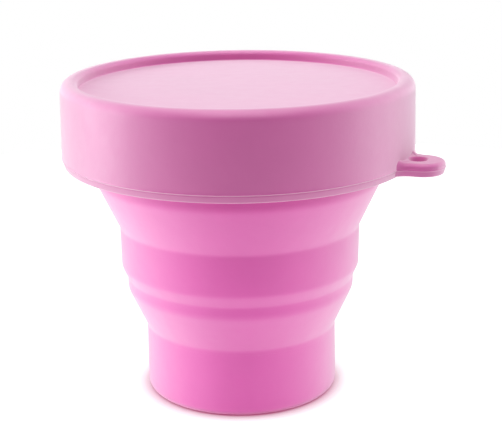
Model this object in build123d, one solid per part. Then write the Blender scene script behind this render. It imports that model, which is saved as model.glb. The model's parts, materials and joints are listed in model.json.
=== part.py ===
from build123d import *
import os

# Collapsible travel cup with a push-on lid. Both mouldings are silicone.
# Frame: +Z up, origin at the centre of the base's underside, hang loop along +X.
# Lengths are millimetres, radii are measured from the cup's axis, heights from the table.

# Stiff bands of the cup. Each fold is a cone between two bands.
WALL = 2.0  # thickness of the stiff bands
FOLD_WALL = 1.5  # thickness of a fold, measured level
FLOOR = 2.6  # thickness of the cup's floor

BASE_FOOT_R = 24.5
BASE_TOP_R = 24.3
BASE_TOP = 17.2
FOOT_ROUND = 1.8

MIDDLE_BAND_R = 28.9  # short band at the foot of the middle tier
MIDDLE_FOOT_R = 30.25  # foot of the middle tier's tall wall
MIDDLE_TOP_R = 30.4
MIDDLE_BOTTOM = 27.3
MIDDLE_TOP = 43.5

TOP_BAND_R = 36.1
TOP_FOOT_R = 37.5
TOP_TOP_R = 37.7
TOP_BOTTOM = 55.8
TOP_TOP = 72.3

BAND_HEIGHT = 2.8  # both tiers start with a short upright band
STEP_HEIGHT = 3.1  # then a small cone leads out to the tall wall
STEP_SHIFT = 0.7  # the inner face steps a little higher, which keeps the wall even

# Shallow ring groove in the underside, just inside the foot.
GROOVE_OUTER_R = 20.5
GROOVE_INNER_R = 17.5
GROOVE_DEPTH = 0.5

# Drinking rim: the thick lip that the lid grips.
RIM_R = 40.6
RIM_TOP = 76.0
RIM_ROUND = 1.3

# Lid.
LID_R = 44.0  # widest, at the parting line
LID_BOTTOM = 59.85
LID_BOTTOM_R = 43.3
LID_PARTING = 61.9
LID_TOP_R = 43.65  # the side's radius carried up to the top
LID_TOP = 80.5
LID_INNER_R = 41.4
PANEL_R = 39.5
PANEL_THICKNESS = 2.0
PANEL_TOP = RIM_TOP + PANEL_THICKNESS
CROWN_OUTER_ROUND = 3.0
CROWN_INNER_ROUND = 1.1

# Grip bead inside the lid's skirt, just below the drinking rim.
GRIP_R = 40.75
GRIP_BOTTOM = 69.6
GRIP_TOP = 71.8

# Hang loop.
LOOP_BOTTOM = 60.25  # its flat underside, a little above the skirt's
LOOP_CENTRE = 47.6  # distance of its round end's centre from the cup's axis
LOOP_R = 5.5
LOOP_HOLE_X = 46.5  # the hole is a little nearer the cup than the round end's centre
LOOP_HOLE_R = 2.3
LOOP_THICKNESS = 3.2
LOOP_ROOT_R = 43.2  # radius inside the skirt where the loop's outline starts
LOOP_ROOT_ROUND = 5.0  # flare where the loop leaves the skirt
LOOP_EDGE_ROUND = 0.9
LOOP_HOLE_ROUND = 0.35


def lathe(*corners):
    """Turn a closed outline about the cup's axis. A corner is (radius, height) or (radius, height, round)."""
    points = [(corner[0], 0, corner[1]) for corner in corners]
    rounds = [corner[2] if len(corner) == 3 else 0 for corner in corners]
    return revolve(make_face(FilletPolyline(points, radius=rounds, close=True)), Axis.Z)


def fold(low_r, low_z, high_r, high_z):
    """Thin cone that joins the outer faces of two stiff bands."""
    return lathe(
        (low_r - FOLD_WALL, low_z),
        (low_r, low_z),
        (high_r, high_z),
        (high_r - FOLD_WALL, high_z),
    )


def tier(band_r, foot_r, top_r, bottom, top):
    """Stiff stepped ring: a short band, a small cone and a tall wall, all one thickness."""
    band_top = bottom + BAND_HEIGHT
    wall_foot = band_top + STEP_HEIGHT
    return lathe(
        (band_r - WALL, bottom),
        (band_r, bottom),
        (band_r, band_top),
        (foot_r, wall_foot),
        (top_r, top),
        (top_r - WALL, top),
        (foot_r - WALL, wall_foot + STEP_SHIFT),
        (band_r - WALL, band_top + STEP_SHIFT),
    )


def base_floor():
    """Round floor with a rounded foot and a shallow ring groove underneath."""
    return lathe(
        (0, 0),
        (GROOVE_INNER_R, 0),
        (GROOVE_INNER_R, GROOVE_DEPTH),
        (GROOVE_OUTER_R, GROOVE_DEPTH),
        (GROOVE_OUTER_R, 0),
        (BASE_FOOT_R, 0, FOOT_ROUND),
        (BASE_FOOT_R, FLOOR),
        (0, FLOOR),
    )


def base_wall():
    """Plain upright wall that stands on the floor disc."""
    return lathe(
        (BASE_FOOT_R - WALL, FLOOR),
        (BASE_FOOT_R, FLOOR),
        (BASE_TOP_R, BASE_TOP),
        (BASE_TOP_R - WALL, BASE_TOP),
    )


def drinking_rim():
    """Thick lip on the top tier, rounded on its free corners."""
    inner = TOP_TOP_R - WALL
    return lathe(
        (inner, TOP_TOP),
        (RIM_R, TOP_TOP, RIM_ROUND),
        (RIM_R, RIM_TOP, RIM_ROUND),
        (inner, RIM_TOP, RIM_ROUND),
    )


def skirt_radius(height):
    """Outer radius of the lid's side, which tapers in a little from the parting line up."""
    taper = (height - LID_PARTING) / (LID_TOP - LID_PARTING)
    return LID_R + taper * (LID_TOP_R - LID_R)


def lid_skirt():
    """Side wall of the lid, with a bevel below the parting line."""
    return lathe(
        (LID_INNER_R, LID_BOTTOM),
        (LID_BOTTOM_R, LID_BOTTOM),
        (LID_R, LID_PARTING),
        (skirt_radius(RIM_TOP), RIM_TOP),
        (LID_INNER_R, RIM_TOP),
    )


def lid_crown():
    """Raised ring that runs round the lid's top."""
    return lathe(
        (PANEL_R, RIM_TOP),
        (skirt_radius(RIM_TOP), RIM_TOP),
        (LID_TOP_R, LID_TOP, CROWN_OUTER_ROUND),
        (PANEL_R, LID_TOP, CROWN_INNER_ROUND),
    )


def lid_panel():
    """Flat top of the lid, set down inside the crown. It rests on the drinking rim."""
    return lathe((0, RIM_TOP), (PANEL_R, RIM_TOP), (PANEL_R, PANEL_TOP), (0, PANEL_TOP))


def lid_grip_bead():
    """Low rounded bead inside the skirt that keeps the lid on."""
    middle = (GRIP_BOTTOM + GRIP_TOP) / 2
    face_line = ThreePointArc((LID_INNER_R, 0, GRIP_TOP), (GRIP_R, 0, middle), (LID_INNER_R, 0, GRIP_BOTTOM))
    back_line = Line((LID_INNER_R, 0, GRIP_BOTTOM), (LID_INNER_R, 0, GRIP_TOP))
    return revolve(make_face([face_line, back_line]), Axis.Z)


def hang_loop():
    """Round-ended loop at the skirt's lower edge, with a hole for a cord or a clip."""
    neck = Pos(LOOP_CENTRE / 2) * Rectangle(LOOP_CENTRE, 2 * LOOP_R)
    outline = Circle(LOOP_ROOT_R) + neck + Pos(LOOP_CENTRE) * Circle(LOOP_R)
    roots = [v for v in outline.vertices() if 0 < v.X < LOOP_ROOT_R]
    blank = extrude(fillet(roots, LOOP_ROOT_ROUND), LOOP_THICKNESS)
    blank = fillet(blank.edges().filter_by(Plane.XY), LOOP_EDGE_ROUND)
    drill = Pos(LOOP_HOLE_X) * extrude(Circle(LOOP_HOLE_R), LOOP_THICKNESS)
    blank = blank - drill
    mouths = [e for e in blank.edges().filter_by(GeomType.CIRCLE) if abs(e.radius - LOOP_HOLE_R) < 0.01]
    blank = Pos(0, 0, LOOP_BOTTOM) * fillet(mouths, LOOP_HOLE_ROUND)
    lid_core = lathe(
        (0, LID_BOTTOM),
        (LID_BOTTOM_R, LID_BOTTOM),
        (LID_R, LID_PARTING),
        (LID_TOP_R, LID_TOP),
        (0, LID_TOP),
    )
    return blank - lid_core


PARTS = {
    "base_floor": base_floor(),
    "base_wall": base_wall(),
    "lower_fold": fold(BASE_TOP_R, BASE_TOP, MIDDLE_BAND_R, MIDDLE_BOTTOM),
    "middle_tier": tier(MIDDLE_BAND_R, MIDDLE_FOOT_R, MIDDLE_TOP_R, MIDDLE_BOTTOM, MIDDLE_TOP),
    "upper_fold": fold(MIDDLE_TOP_R, MIDDLE_TOP, TOP_BAND_R, TOP_BOTTOM),
    "top_tier": tier(TOP_BAND_R, TOP_FOOT_R, TOP_TOP_R, TOP_BOTTOM, TOP_TOP),
    "drinking_rim": drinking_rim(),
    "lid_skirt": lid_skirt(),
    "lid_crown": lid_crown(),
    "lid_panel": lid_panel(),
    "lid_grip_bead": lid_grip_bead(),
    "hang_loop": hang_loop(),
}

os.makedirs("parts", exist_ok=True)
for name, shape in PARTS.items():
    export_step(shape, f"parts/{name}.step")
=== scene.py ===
"""Collapsible travel cup in silicone, with a push-on lid: meshes, materials, light and camera.

Outlines are in millimetres as (radius, height) about the cup's axis, and become metres in the mesh.
"""

import json
import math

import bpy
import numpy as np
from mathutils import Matrix, Vector


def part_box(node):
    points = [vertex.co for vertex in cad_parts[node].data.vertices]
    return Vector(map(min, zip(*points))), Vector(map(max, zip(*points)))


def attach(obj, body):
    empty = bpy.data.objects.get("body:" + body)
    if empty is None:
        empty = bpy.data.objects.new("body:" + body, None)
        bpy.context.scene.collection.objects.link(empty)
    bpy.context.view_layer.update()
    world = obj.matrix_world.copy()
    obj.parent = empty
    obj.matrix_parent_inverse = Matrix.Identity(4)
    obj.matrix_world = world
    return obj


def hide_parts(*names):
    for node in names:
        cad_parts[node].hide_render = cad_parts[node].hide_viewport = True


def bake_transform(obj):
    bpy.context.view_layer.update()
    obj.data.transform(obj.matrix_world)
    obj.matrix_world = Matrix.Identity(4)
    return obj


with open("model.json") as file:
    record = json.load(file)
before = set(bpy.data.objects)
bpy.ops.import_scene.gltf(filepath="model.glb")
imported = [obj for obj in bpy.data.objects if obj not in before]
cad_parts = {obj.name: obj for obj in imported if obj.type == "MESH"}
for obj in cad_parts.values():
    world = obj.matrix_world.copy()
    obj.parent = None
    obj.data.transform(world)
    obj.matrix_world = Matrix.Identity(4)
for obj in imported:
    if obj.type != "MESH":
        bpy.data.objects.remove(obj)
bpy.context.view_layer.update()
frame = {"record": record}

MM = 0.001
SEGMENTS = 192  # steps round the axis
STEP = 0.9  # longest edge along an outline, mm
ARC_STEP = math.radians(12)  # longest turn between two points of a rounded corner
SHARP = math.radians(50)  # edges that turn more than this are shaded sharp


# ---------------------------------------------------------------- sizes from the frame, in mm


def radius_of(node):
    """Largest radius of a turned CAD node."""
    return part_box(node)[1].x / MM


def bottom_of(node):
    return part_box(node)[0].z / MM


def top_of(node):
    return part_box(node)[1].z / MM


BASE_R = radius_of("base_floor")
FLOOR_TOP = top_of("base_floor")
BASE_TOP = top_of("base_wall")

MIDDLE_BAND_R = radius_of("lower_fold")
MIDDLE_R = radius_of("middle_tier")
MIDDLE_BOTTOM = bottom_of("middle_tier")
MIDDLE_TOP = top_of("middle_tier")

TOP_BAND_R = radius_of("upper_fold")
TOP_R = radius_of("top_tier")
TOP_BOTTOM = bottom_of("top_tier")
TOP_TOP = top_of("top_tier")

RIM_R = radius_of("drinking_rim")
RIM_TOP = top_of("drinking_rim")

LID_R = radius_of("lid_skirt")
LID_BOTTOM = bottom_of("lid_skirt")
LID_TOP = top_of("lid_crown")
LID_INNER_R = radius_of("lid_grip_bead")
PANEL_R = radius_of("lid_panel")
PANEL_TOP = top_of("lid_panel")
GRIP_MIDDLE = (bottom_of("lid_grip_bead") + top_of("lid_grip_bead")) / 2

LOOP_BOTTOM = bottom_of("hang_loop")
LOOP_TOP = top_of("hang_loop")
LOOP_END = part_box("hang_loop")[1].x / MM
HOLE = next(mount for mount in frame["record"]["mounts"] if mount["name"] == "hang_loop_hole")
HOLE_X = HOLE["pos_m"][0] / MM
HOLE_R = HOLE["dims"]["r_mm"]


# ---------------------------------------------------------------- other sizes, in mm


# Cup walls.
WALL = 2.0  # thickness of the cup's walls
BASE_TOP_R = BASE_R - 0.2  # the base's wall tapers in a little
BAND_HEIGHT = 2.8  # short upright band at the foot of each upper tier
STEP_HEIGHT = 3.1  # small cone between the band and the tall wall
STEP_SHIFT = 0.7  # the inner face steps this much higher
TIER_TAPER = 0.15  # a tall wall's foot is this much inside its top
BAND_ROUND = 1.8
BAND_INNER_ROUND = 1.2
FOOT_ROUND = 2.5
FOOT_INNER_ROUND = 1.5

# Base, with a shallow ring groove in its underside.
BASE_ROUND = 1.8
WELL_ROUND = 1.4  # where the floor meets the wall inside
GROOVE_OUTER_R = BASE_R - 4.0
GROOVE_INNER_R = BASE_R - 7.0
GROOVE_DEPTH = 0.5
GROOVE_SLOPE = 0.3  # each of its sides leans by this much
GROOVE_ROUND = 0.2

# Drinking rim.
RIM_NECK_ROUND = 0.7
RIM_UNDER_ROUND = 1.2
RIM_ROUND = 1.3

# Folds.
SEAM = 1.1  # a fold's mesh runs this far on to the upright bands, so that the joint is on a straight wall
FOLD_LOW_ROUND = 2.5
FOLD_HIGH_ROUND = 4.0
FOLD_LOW_INNER_ROUND = 1.0
FOLD_HIGH_INNER_ROUND = 0.8

# Lid.
LID_TOP_R = LID_R - 0.35  # the lid's side tapers in a little
LID_PARTING = LID_BOTTOM + 2.05  # height of the parting line
PANEL_ROUND = 0.3
CROWN_INNER_ROUND = 1.3
CROWN_OUTER_ROUND = 2.5
RIDGE = 0.12  # the parting line stands this far out
RIDGE_HALF = 0.28
RIDGE_ROUND = 0.1
RIDGE_TOP_ROUND = 0.2
GROOVE_BELOW = 0.2  # depth of the groove that runs below the parting line
GROOVE_BELOW_ROUND = 0.3
BEVEL = 0.6  # the skirt's lower edge is this much inside its widest
BEVEL_ROUND = 0.6
SKIRT_INNER_ROUND = 0.4
GRIP_R = RIM_R + 0.15  # the grip bead clears the rim by this much
GRIP_HALF = 1.1
GRIP_ROUND = 0.7
GRIP_FOOT_ROUND = 0.3
LID_INSIDE_ROUND = 0.5

# Hang loop. Depths are measured inward from the loop's outline seen from above.
LOOP_R = 5.5
LOOP_CENTRE = LOOP_END - LOOP_R  # of its round end
LOOP_ROOT_R = LID_R - 0.8  # the loop's mesh ends inside the skirt
LOOP_FLARE = 5.0  # round where a side runs out into the skirt
END_POINTS = 25  # along a quarter of the round end
FLARE_POINTS = 17
ROOT_POINTS = 9
LOOP_LAND = 1.3  # the outline's offset covers this much of the top and bottom faces
LOOP_SWELL = 0.6  # the top rises this much to meet the skirt
LOOP_SWELL_WIDTH = 1.4  # and the rise starts this far from the skirt
LOOP_TOP_ROUND = 1.0
LOOP_GROOVE = 0.1
LOOP_GROOVE_ROUND = 0.2
LOOP_BEVEL = 0.4
LOOP_BEVEL_ROUND = 0.5
MOUTH_LAND = 0.8  # the hole's mouths cover this much of the top and bottom faces
MOUTH_ROUND = 0.4

# How the soft walls stand off a true circle: amount in mm, lobes, turn per mm of height, start.
WAVES = (
    (0.05, 2, 0.0, 0.9),
    (0.035, 3, 0.04, 0.0),
    (0.02, 5, -0.07, 2.0),
)
WAVE_FADE_R = 20  # the waves fade out from this radius to the axis


# ---------------------------------------------------------------- outlines


def round_corner(before, corner, after, radius):
    """Points of the arc that rounds one corner of an outline."""
    to_before = (before - corner) / np.linalg.norm(before - corner)
    to_after = (after - corner) / np.linalg.norm(after - corner)
    turn = math.pi - math.acos(np.clip(to_before @ to_after, -1, 1))
    start = corner + to_before * radius * math.tan(turn / 2)
    end = corner + to_after * radius * math.tan(turn / 2)
    middle = to_before + to_after
    centre = corner + middle / np.linalg.norm(middle) * radius / math.cos(turn / 2)
    spoke, last = start - centre, end - centre
    way = 1 if spoke[0] * last[1] - spoke[1] * last[0] > 0 else -1
    steps = max(2, math.ceil(turn / ARC_STEP))
    points = []
    for i in range(steps + 1):
        a = way * turn * i / steps
        c, s = math.cos(a), math.sin(a)
        points.append(centre + np.array([c * spoke[0] - s * spoke[1], s * spoke[0] + c * spoke[1]]))
    return points


def outline(*corners):
    """Open outline. A corner is (radius, height) or (radius, height, round); long runs are divided."""
    places = [np.array(corner[:2], float) for corner in corners]
    rough = [places[0]]
    for i in range(1, len(corners) - 1):
        if len(corners[i]) == 3:
            rough += round_corner(places[i - 1], places[i], places[i + 1], corners[i][2])
        else:
            rough.append(places[i])
    rough.append(places[-1])
    points = [rough[0]]
    for a, b in zip(rough, rough[1:]):
        parts = max(1, math.ceil(np.linalg.norm(b - a) / STEP))
        points += [a + (b - a) * i / parts for i in range(1, parts + 1)]
    return np.array(points)


def out_of_round(angle, height):
    """How far the soft wall stands off a true circle, in mm."""
    total = 0
    for amount, lobes, twist, start in WAVES:
        total = total + amount * np.cos(lobes * angle + twist * height + start)
    return total


def ring_faces(a, b, count):
    """Four-sided faces between two closed rows of points, which start at a and b."""
    faces = []
    for i in range(count):
        j = (i + 1) % count
        faces.append((a + i, a + j, b + j, b + i))
    return faces


def turned(name, points, ring=False):
    """Turn an outline about the axis. A ring's closes on itself; any other has both ends on the axis."""
    angles = np.arange(SEGMENTS) * 2 * math.pi / SEGMENTS
    body = points if ring else points[1:-1]
    fade = np.clip(body[:, :1] / WAVE_FADE_R, 0, 1)
    r = body[:, :1] + out_of_round(angles[None, :], body[:, 1:]) * fade
    x, y = r * np.cos(angles), r * np.sin(angles)
    z = np.repeat(body[:, 1:], SEGMENTS, axis=1)
    vertices = (np.stack([x, y, z], axis=-1).reshape(-1, 3) * MM).tolist()
    rows = len(body)
    faces = []
    for row in range(rows if ring else rows - 1):
        faces += ring_faces(row * SEGMENTS, (row + 1) % rows * SEGMENTS, SEGMENTS)
    if not ring:
        first, last = len(vertices), len(vertices) + 1
        vertices += [(0, 0, points[0, 1] * MM), (0, 0, points[-1, 1] * MM)]
        a = (rows - 1) * SEGMENTS
        for i in range(SEGMENTS):
            j = (i + 1) % SEGMENTS
            faces.append((first, j, i))
            faces.append((a + i, a + j, last))
    return finished(name, vertices, faces)


def finished(name, vertices, faces):
    """A smooth-shaded object in the scene, with its normals turned outward."""
    mesh = bpy.data.meshes.new(name)
    mesh.from_pydata(vertices, [], faces)
    mesh.validate()
    piece = bpy.data.objects.new(name, mesh)
    bpy.context.collection.objects.link(piece)
    bpy.context.view_layer.objects.active = piece
    piece.select_set(True)
    bpy.ops.object.mode_set(mode="EDIT")
    bpy.ops.mesh.select_all(action="SELECT")
    bpy.ops.mesh.normals_make_consistent(inside=False)
    bpy.ops.object.mode_set(mode="OBJECT")
    piece.select_set(False)
    mesh.shade_smooth()
    mesh.set_sharp_from_angle(angle=SHARP)
    return piece


# ---------------------------------------------------------------- the cup


def wall_radius(height):
    """Outer radius of the base's wall, which tapers in a little."""
    return BASE_R + (BASE_TOP_R - BASE_R) * (height - FLOOR_TOP) / (BASE_TOP - FLOOR_TOP)


def make_base():
    """Floor and lowest wall, up to the seam below the lower fold."""
    cut = BASE_TOP - SEAM
    return turned(
        "cup_base",
        outline(
            (0, 0),
            (GROOVE_INNER_R, 0, GROOVE_ROUND),
            (GROOVE_INNER_R + GROOVE_SLOPE, GROOVE_DEPTH, GROOVE_ROUND),
            (GROOVE_OUTER_R - GROOVE_SLOPE, GROOVE_DEPTH, GROOVE_ROUND),
            (GROOVE_OUTER_R, 0, GROOVE_ROUND),
            (BASE_R, 0, BASE_ROUND),
            (BASE_R, FLOOR_TOP),
            (wall_radius(cut), cut),
            (wall_radius(cut) - WALL, cut),
            (BASE_R - WALL, FLOOR_TOP, WELL_ROUND),
            (0, FLOOR_TOP),
        ),
    )


def tier_faces(band_r, wall_r, bottom):
    """Corners of a stepped tier's outer face, going up, and of its inner face, going down."""
    band_top = bottom + BAND_HEIGHT
    foot = band_top + STEP_HEIGHT
    foot_r = wall_r - TIER_TAPER
    outer = [
        (band_r, bottom + SEAM),
        (band_r, band_top, BAND_ROUND),
        (foot_r, foot, FOOT_ROUND),
    ]
    inner = [
        (foot_r - WALL, foot + STEP_SHIFT, FOOT_INNER_ROUND),
        (band_r - WALL, band_top + STEP_SHIFT, BAND_INNER_ROUND),
        (band_r - WALL, bottom + SEAM),
    ]
    return outer, inner


def make_middle():
    """Middle tier, from the seam above the lower fold to the seam below the upper one."""
    outer, inner = tier_faces(MIDDLE_BAND_R, MIDDLE_R, MIDDLE_BOTTOM)
    cut = MIDDLE_TOP - SEAM
    points = outline(*outer, (MIDDLE_R, cut), (MIDDLE_R - WALL, cut), *inner)
    return turned("cup_middle_tier", points, ring=True)


def make_top():
    """Top tier with the thick drinking rim."""
    outer, inner = tier_faces(TOP_BAND_R, TOP_R, TOP_BOTTOM)
    points = outline(
        *outer,
        (TOP_R, TOP_TOP, RIM_NECK_ROUND),
        (RIM_R, TOP_TOP, RIM_UNDER_ROUND),
        (RIM_R, RIM_TOP, RIM_ROUND),
        (TOP_R - WALL, RIM_TOP, RIM_ROUND),
        *inner,
    )
    return turned("cup_top_tier", points, ring=True)


def make_fold(name, low_r, low_z, high_r, high_z):
    """A fold with the ends of the two bands it joins."""
    outer = outline(
        (low_r, low_z - SEAM),
        (low_r, low_z, FOLD_LOW_ROUND),
        (high_r, high_z, FOLD_HIGH_ROUND),
        (high_r, high_z + SEAM),
    )
    inner = outline(
        (high_r - WALL, high_z + SEAM),
        (high_r - WALL, high_z, FOLD_HIGH_INNER_ROUND),
        (low_r - WALL, low_z, FOLD_LOW_INNER_ROUND),
        (low_r - WALL, low_z - SEAM),
    )
    piece = turned(name, np.concatenate([outer, inner]), ring=True)
    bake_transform(piece)
    return piece


# ---------------------------------------------------------------- the lid


def make_lid():
    """Panel, crown and skirt in one shell, with a parting line, a groove, a bevel and the grip bead."""
    groove_r = LID_R - GROOVE_BELOW
    return turned(
        "lid_shell",
        outline(
            (0, PANEL_TOP),
            (PANEL_R, PANEL_TOP, PANEL_ROUND),
            (PANEL_R, LID_TOP, CROWN_INNER_ROUND),
            (LID_TOP_R, LID_TOP, CROWN_OUTER_ROUND),
            (LID_R, LID_PARTING + RIDGE_HALF, RIDGE_TOP_ROUND),
            (LID_R + RIDGE, LID_PARTING, RIDGE_ROUND),
            (groove_r, LID_PARTING - RIDGE_HALF, RIDGE_ROUND),
            (groove_r, LID_PARTING - 2 * RIDGE_HALF, GROOVE_BELOW_ROUND),
            (LID_R - BEVEL, LID_BOTTOM, BEVEL_ROUND),
            (LID_INNER_R, LID_BOTTOM, SKIRT_INNER_ROUND),
            (LID_INNER_R, GRIP_MIDDLE - GRIP_HALF, GRIP_FOOT_ROUND),
            (GRIP_R, GRIP_MIDDLE, GRIP_ROUND),
            (LID_INNER_R, GRIP_MIDDLE + GRIP_HALF, GRIP_FOOT_ROUND),
            (LID_INNER_R, RIM_TOP, LID_INSIDE_ROUND),
            (0, RIM_TOP),
        ),
    )


def sweep(centre, radius, start, stop, count, outward=1):
    """Points along an arc seen from above, each with the direction that leads out of the loop."""
    points = []
    for a in np.linspace(start, stop, count):
        spoke = np.array([math.cos(a), math.sin(a)])
        points.append((np.array(centre) + radius * spoke, outward * spoke))
    return points


def loop_edge():
    """Outline of the loop seen from above, and its outward directions.

    It goes round the free end, along one flared side and inside the skirt, and comes back mirrored.
    """
    flare_r = LOOP_R + LOOP_FLARE
    flare_x = math.sqrt((LOOP_ROOT_R + LOOP_FLARE) ** 2 - flare_r**2)
    root_turn = math.atan2(flare_r, flare_x)
    flare_stop = root_turn - math.pi
    half = sweep((LOOP_CENTRE, 0), LOOP_R, 0, math.pi / 2, END_POINTS)
    half += sweep((flare_x, flare_r), LOOP_FLARE, -math.pi / 2, flare_stop, FLARE_POINTS, outward=-1)[1:]
    half += sweep((0, 0), LOOP_ROOT_R, root_turn, 0, ROOT_POINTS)[1:]
    mirror = np.array([1, -1])
    whole = half + [(point * mirror, spoke * mirror) for point, spoke in half[-2:0:-1]]
    return np.array([point for point, _ in whole]), np.array([spoke for _, spoke in whole])


def make_loop():
    """The hang loop: rounded edges, a parting line level with the lid's and a hole with rounded mouths."""
    edge, out = loop_edge()
    spoke = edge - np.array([HOLE_X, 0])
    spoke /= np.linalg.norm(spoke, axis=1, keepdims=True)
    hole = np.array([HOLE_X, 0]) + spoke * HOLE_R
    side = outline(
        (-LOOP_LAND, LOOP_TOP),
        (0, LOOP_TOP, LOOP_TOP_ROUND),
        (0, LID_PARTING + RIDGE_HALF, RIDGE_TOP_ROUND),
        (RIDGE, LID_PARTING, RIDGE_ROUND),
        (-LOOP_GROOVE, LID_PARTING - RIDGE_HALF, LOOP_GROOVE_ROUND),
        (-LOOP_BEVEL, LOOP_BOTTOM, LOOP_BEVEL_ROUND),
        (-LOOP_LAND, LOOP_BOTTOM),
    )
    mouth = outline(
        (MOUTH_LAND, LOOP_BOTTOM),
        (0, LOOP_BOTTOM, MOUTH_ROUND),
        (0, LOOP_TOP, MOUTH_ROUND),
        (MOUTH_LAND, LOOP_TOP),
    )
    layers = []
    for offset, height in side:
        place = edge + out * offset
        near_skirt = np.clip(1 - (np.hypot(*place.T) - LID_R) / LOOP_SWELL_WIDTH, 0, 1) ** 2
        share = max(0, height - LID_PARTING) / (LOOP_TOP - LID_PARTING)
        layers.append(np.column_stack([place, height + LOOP_SWELL * share * near_skirt]))
    for offset, height in mouth:
        layers.append(np.column_stack([hole + spoke * offset, np.full(len(hole), height)]))
    count = len(edge)
    faces = []
    for row in range(len(layers)):
        faces += ring_faces(row * count, (row + 1) % len(layers) * count, count)
    return finished("hang_loop_ring", (np.concatenate(layers) * MM).tolist(), faces)


# ---------------------------------------------------------------- materials


# Linear colours: each silicone's own, and a deeper one that mottles it. The cup's is lighter than the lid's
# partly as painted light, for the light that shines through its thin walls.
CUP_COLOUR = (0.79, 0.014, 0.42, 1)
CUP_DEEP = (0.75, 0.011, 0.40, 1)
LID_COLOUR = (0.54, 0.010, 0.275, 1)
LID_DEEP = (0.51, 0.008, 0.26, 1)
CUP_GLOSS = 0.6
LID_GLOSS = 0.9

NOISE_LOW, NOISE_HIGH = 0.3, 0.7  # most of a noise lies between these
ROUGHNESS_LOW, ROUGHNESS_HIGH = 0.44, 0.54
SILICONE_IOR = 1.48

# Noise scales are in waves per metre, heights in metres.
MOTTLE_SCALE = 60
MOTTLE_DETAIL = 4
SHINE_SCALE = 350
SHINE_DETAIL = 3
GRAIN_SCALE = 2600
GRAIN_STRENGTH = 0.25
GRAIN_HEIGHT = 0.00004
SWELL_SCALE = 220
SWELL_STRENGTH = 0.3
SWELL_HEIGHT = 0.0002
BUMP_DETAIL = 2

BLOOM_WEIGHT = 1.0
BLOOM_ROUGHNESS = 0.67
BLOOM_TINT = (1.0, 0.97, 1.0, 1)


def silicone(name, colour, deep, gloss):
    """Satin silicone: a soft white bloom, faint mottling, a fine moulded grain and a slight swell."""
    material = bpy.data.materials.new(name)
    material.use_nodes = True
    nodes, links = material.node_tree.nodes, material.node_tree.links
    shader = nodes["Principled BSDF"]
    place = nodes.new("ShaderNodeTexCoord")

    def noise(scale, detail):
        node = nodes.new("ShaderNodeTexNoise")
        node.inputs["Scale"].default_value = scale
        node.inputs["Detail"].default_value = detail
        links.new(place.outputs["Object"], node.inputs["Vector"])
        return node.outputs["Fac"]

    def spread(value, low, high):
        node = nodes.new("ShaderNodeMapRange")
        node.inputs["From Min"].default_value = NOISE_LOW
        node.inputs["From Max"].default_value = NOISE_HIGH
        node.inputs["To Min"].default_value = low
        node.inputs["To Max"].default_value = high
        links.new(value, node.inputs["Value"])
        return node.outputs["Result"]

    def bump(scale, strength, height):
        node = nodes.new("ShaderNodeBump")
        node.inputs["Strength"].default_value = strength
        node.inputs["Distance"].default_value = height
        links.new(noise(scale, BUMP_DETAIL), node.inputs["Height"])
        return node

    mix = nodes.new("ShaderNodeMix")
    mix.data_type = "RGBA"
    mix.inputs["A"].default_value = colour
    mix.inputs["B"].default_value = deep
    links.new(spread(noise(MOTTLE_SCALE, MOTTLE_DETAIL), 0, 1), mix.inputs["Factor"])
    links.new(mix.outputs["Result"], shader.inputs["Base Color"])
    shine = spread(noise(SHINE_SCALE, SHINE_DETAIL), ROUGHNESS_LOW, ROUGHNESS_HIGH)
    links.new(shine, shader.inputs["Roughness"])

    grain = bump(GRAIN_SCALE, GRAIN_STRENGTH, GRAIN_HEIGHT)
    swell = bump(SWELL_SCALE, SWELL_STRENGTH, SWELL_HEIGHT)
    links.new(grain.outputs["Normal"], swell.inputs["Normal"])
    links.new(swell.outputs["Normal"], shader.inputs["Normal"])

    shader.inputs["IOR"].default_value = SILICONE_IOR
    shader.inputs["Specular IOR Level"].default_value = gloss
    shader.inputs["Sheen Weight"].default_value = BLOOM_WEIGHT
    shader.inputs["Sheen Roughness"].default_value = BLOOM_ROUGHNESS
    shader.inputs["Sheen Tint"].default_value = BLOOM_TINT
    return material


FLOOR_WHITE = (0.45, 0.45, 0.45, 1)
FLOOR_ROUGHNESS = 0.5
FLOOR_GLOW = 0.75
WHITE = (1, 1, 1, 1)
PAINTED_SHADOW_REACH = 0.0035  # how far from the foot the painted contact shadow reaches, in metres
PAINTED_SHADOW_FADE = 1.5  # power of the floor's openness; above 1 it darkens the painted shadow
PAINTED_SHADOW_TINT = (0.3, 0.0, 0.1, 1)  # what the glow dims to: the painted shadow's deep pink, painted pink light from the cup in it
PAINTED_SHADOW_SAMPLES = 16


def floor_material():
    """White with a glow, as on a light table. Close round the foot the glow dims to a deep pink: a painted
    contact shadow, tinted with painted pink light from the cup.
    """
    material = bpy.data.materials.new("pale_floor")
    material.use_nodes = True
    nodes, links = material.node_tree.nodes, material.node_tree.links
    shader = nodes["Principled BSDF"]
    shader.inputs["Base Color"].default_value = FLOOR_WHITE
    shader.inputs["Roughness"].default_value = FLOOR_ROUGHNESS
    shader.inputs["Emission Strength"].default_value = FLOOR_GLOW
    # Painted contact shadow: the floor's glow dims where the foot hems it in.
    openness = nodes.new("ShaderNodeAmbientOcclusion")
    openness.samples = PAINTED_SHADOW_SAMPLES
    openness.inputs["Distance"].default_value = PAINTED_SHADOW_REACH
    fade = nodes.new("ShaderNodeMath")
    fade.operation = "POWER"
    fade.inputs[1].default_value = PAINTED_SHADOW_FADE
    links.new(openness.outputs["AO"], fade.inputs[0])
    glow_with_painted_shadow = nodes.new("ShaderNodeMix")
    glow_with_painted_shadow.data_type = "RGBA"
    glow_with_painted_shadow.inputs["A"].default_value = PAINTED_SHADOW_TINT
    glow_with_painted_shadow.inputs["B"].default_value = WHITE
    links.new(fade.outputs["Value"], glow_with_painted_shadow.inputs["Factor"])
    links.new(glow_with_painted_shadow.outputs["Result"], shader.inputs["Emission Color"])
    return material


# ---------------------------------------------------------------- studio, in metres


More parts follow.
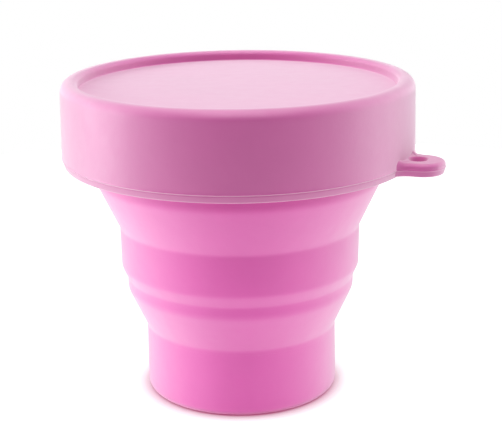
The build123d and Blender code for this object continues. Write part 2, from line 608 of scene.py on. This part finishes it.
CAMERA_TURN = math.radians(24.5)  # how far round from -Y towards +X the camera stands
CAMERA_DISTANCE = 0.3087
CAMERA_HEIGHT = 0.1347
CAMERA_DOWN = math.radians(16.26)
CAMERA_YAW = math.radians(0.53)
CAMERA_ROLL = math.radians(-0.756)
CAMERA_LENS = 90.5
CAMERA_NEAR = 0.01

FLOOR_RADIUS = 0.28
FLOOR_CORNERS = 96
FLOOR_Z = -0.00003  # just below the cup's underside, so that the two faces don't fight

WORLD_FILL = 0.05  # strength of the world's light on the cup
WORLD_SEEN = 1.0  # strength of the background that the camera sees

AIM = Vector((0, 0, 0.045))  # the point that every softbox faces

# name, turn from the camera in degrees, distance, height, width, tall, power in watts
SOFTBOXES = (
    ("low_left", -92, 0.80, 0.07, 0.4, 0.6, 5.6),
    ("low_right", 92, 0.80, 0.07, 0.4, 0.6, 2.7),
    ("high_left", -110, 0.66, 0.50, 0.7, 0.4, 2.1),
    ("high_right", 110, 0.66, 0.50, 0.7, 0.4, 1.6),
    ("high_front", 0, 0.46, 0.70, 0.5, 0.4, 2.4),
    ("overhead", 0, 0.0, 0.85, 0.6, 0.6, 4.4),
    ("backdrop", 180, 0.70, 0.42, 1.2, 0.5, 1.1),
)


def make_camera():
    data = bpy.data.cameras.new("camera")
    data.lens = CAMERA_LENS
    data.clip_start = CAMERA_NEAR
    camera = bpy.data.objects.new("camera", data)
    bpy.context.collection.objects.link(camera)
    spot = Vector((math.sin(CAMERA_TURN), -math.cos(CAMERA_TURN), 0)) * CAMERA_DISTANCE
    spot.z = CAMERA_HEIGHT
    camera.matrix_world = (
        Matrix.Translation(spot)
        @ Matrix.Rotation(CAMERA_TURN - CAMERA_YAW, 4, "Z")
        @ Matrix.Rotation(math.pi / 2 - CAMERA_DOWN, 4, "X")
        @ Matrix.Rotation(CAMERA_ROLL, 4, "Z")
    )
    bpy.context.scene.camera = camera


def make_softbox(name, turn, distance, height, width, tall, power):
    """A large soft light that faces the cup. Turn is measured from the camera, positive to its right."""
    data = bpy.data.lights.new(name, "AREA")
    data.shape = "RECTANGLE"
    data.size = width
    data.size_y = tall
    data.energy = power
    light = bpy.data.objects.new(name, data)
    bpy.context.collection.objects.link(light)
    a = CAMERA_TURN + math.radians(turn)
    light.location = (math.sin(a) * distance, -math.cos(a) * distance, height)
    light.rotation_euler = (AIM - light.location).to_track_quat("-Z", "Y").to_euler()


def make_floor():
    """A round pale floor, large enough for the cup's shadow. Past it the background is the same white."""
    vertices = []
    for i in range(FLOOR_CORNERS):
        a = 2 * math.pi * i / FLOOR_CORNERS
        vertices.append((FLOOR_RADIUS * math.cos(a), FLOOR_RADIUS * math.sin(a), FLOOR_Z))
    mesh = bpy.data.meshes.new("floor")
    mesh.from_pydata(vertices, [], [range(FLOOR_CORNERS)])
    mesh.materials.append(floor_material())
    floor = bpy.data.objects.new("floor", mesh)
    bpy.context.collection.objects.link(floor)


def make_world():
    """White behind the cup, and a weaker fill of the same white as light."""
    world = bpy.data.worlds.new("studio")
    world.use_nodes = True
    nodes, links = world.node_tree.nodes, world.node_tree.links
    seen = nodes.new("ShaderNodeLightPath")
    strength = nodes.new("ShaderNodeMix")
    strength.inputs["A"].default_value = WORLD_FILL
    strength.inputs["B"].default_value = WORLD_SEEN
    links.new(seen.outputs["Is Camera Ray"], strength.inputs["Factor"])
    background = nodes["Background"]
    background.inputs["Color"].default_value = WHITE
    links.new(strength.outputs["Result"], background.inputs["Strength"])
    bpy.context.scene.world = world
    bpy.context.scene.view_settings.view_transform = "Standard"


# ---------------------------------------------------------------- assembly


def place(piece, material, slot, *nodes, body=None):
    """Give a piece its material and hide the CAD nodes it stands for; slot is not used. A piece given a
    body rides on it.
    """
    piece.data.materials.append(material)
    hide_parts(*nodes)
    if body:
        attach(piece, body)


make_camera()
make_floor()
make_world()
for softbox in SOFTBOXES:
    make_softbox(*softbox)

cup_silicone = silicone("cup_silicone", CUP_COLOUR, CUP_DEEP, CUP_GLOSS)
lid_silicone = silicone("lid_silicone", LID_COLOUR, LID_DEEP, LID_GLOSS)

place(make_base(), cup_silicone, "cup_silicone", "base_floor", "base_wall", body="base")
place(make_middle(), cup_silicone, "cup_silicone", "middle_tier", body="middle")
place(make_top(), cup_silicone, "cup_silicone", "top_tier", "drinking_rim", body="top")
lower = make_fold("cup_lower_fold", BASE_TOP_R, BASE_TOP, MIDDLE_BAND_R, MIDDLE_BOTTOM)
place(lower, cup_silicone, "cup_silicone", "lower_fold")
upper = make_fold("cup_upper_fold", MIDDLE_R, MIDDLE_TOP, TOP_BAND_R, TOP_BOTTOM)
place(upper, cup_silicone, "cup_silicone", "upper_fold")
lid_nodes = ("lid_skirt", "lid_crown", "lid_panel", "lid_grip_bead")
place(make_lid(), lid_silicone, "lid_silicone", *lid_nodes, body="lid")
place(make_loop(), lid_silicone, "lid_silicone", "hang_loop", body="lid")
